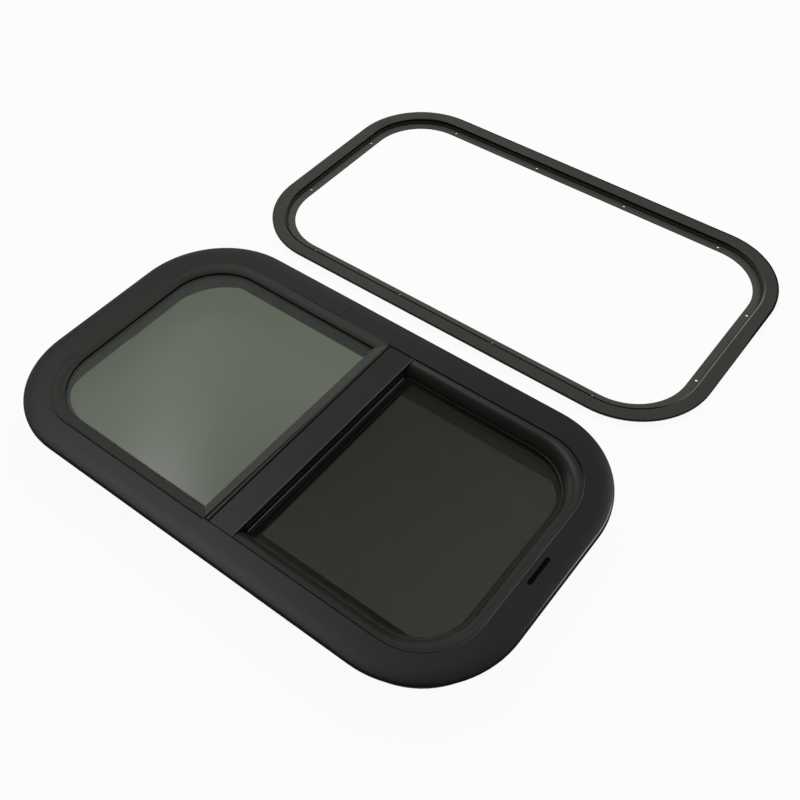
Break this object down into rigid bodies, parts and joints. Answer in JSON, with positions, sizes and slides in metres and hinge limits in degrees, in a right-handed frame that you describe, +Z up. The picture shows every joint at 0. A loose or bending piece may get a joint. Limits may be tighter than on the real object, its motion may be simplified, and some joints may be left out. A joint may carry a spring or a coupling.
{
  "type": "caravan window",
  "caption": "Half-slider caravan window with rounded corners, dark tinted panes and a black frame, laid out flat with its separate clamp ring.",
  "frame": {"origin": "centre of the window on the floor, at the room end of the frame's leg", "axes": "+X along the window's long side towards the sliding pane's closing end, +Y across it towards the clamp ring, +Z up towards the outside face"},
  "size_m": [0.666, 0.8151, 0.047],
  "materials": {
    "frame_coating": "satin",
    "ring_coating": "matte",
    "screen_coating": "satin",
    "tinted_glass": "gloss",
    "gasket_rubber": "matte",
    "seal_rubber": "matte",
    "screen_yarn": "matte",
    "pile_yarn": "matte",
    "black_plastic": "matte"
  },
  "bodies": {
    "window": {"outer_frame": "frame_coating", "weep_baffle": "black_plastic", "fixed_glass": "tinted_glass", "glazing_gasket": "gasket_rubber", "mullion_bead": "gasket_rubber", "mullion": "frame_coating", "mullion_pile": "pile_yarn", "reveal_trim": "frame_coating", "wiper_seal": "gasket_rubber", "glass_run_near": "seal_rubber", "glass_run_far": "seal_rubber", "end_seal": "seal_rubber", "screen_frame": "screen_coating", "screen_mesh": "screen_yarn", "screen_spline": "seal_rubber", "screen_tabs": "black_plastic", "screen_clips": "black_plastic", "trim_ring": "ring_coating"},
    "sash": {"sliding_glass": "tinted_glass", "sash_stile": "screen_coating", "stile_caps": "black_plastic", "stile_pile": "pile_yarn", "sash_pull": "black_plastic"}
  },
  "joints": [
    {"name": "sash_slide", "type": "slide", "parent": "window", "child": "sash", "axis": [-1, 0, 0], "range_m": [0, 0.215]}
  ]
}
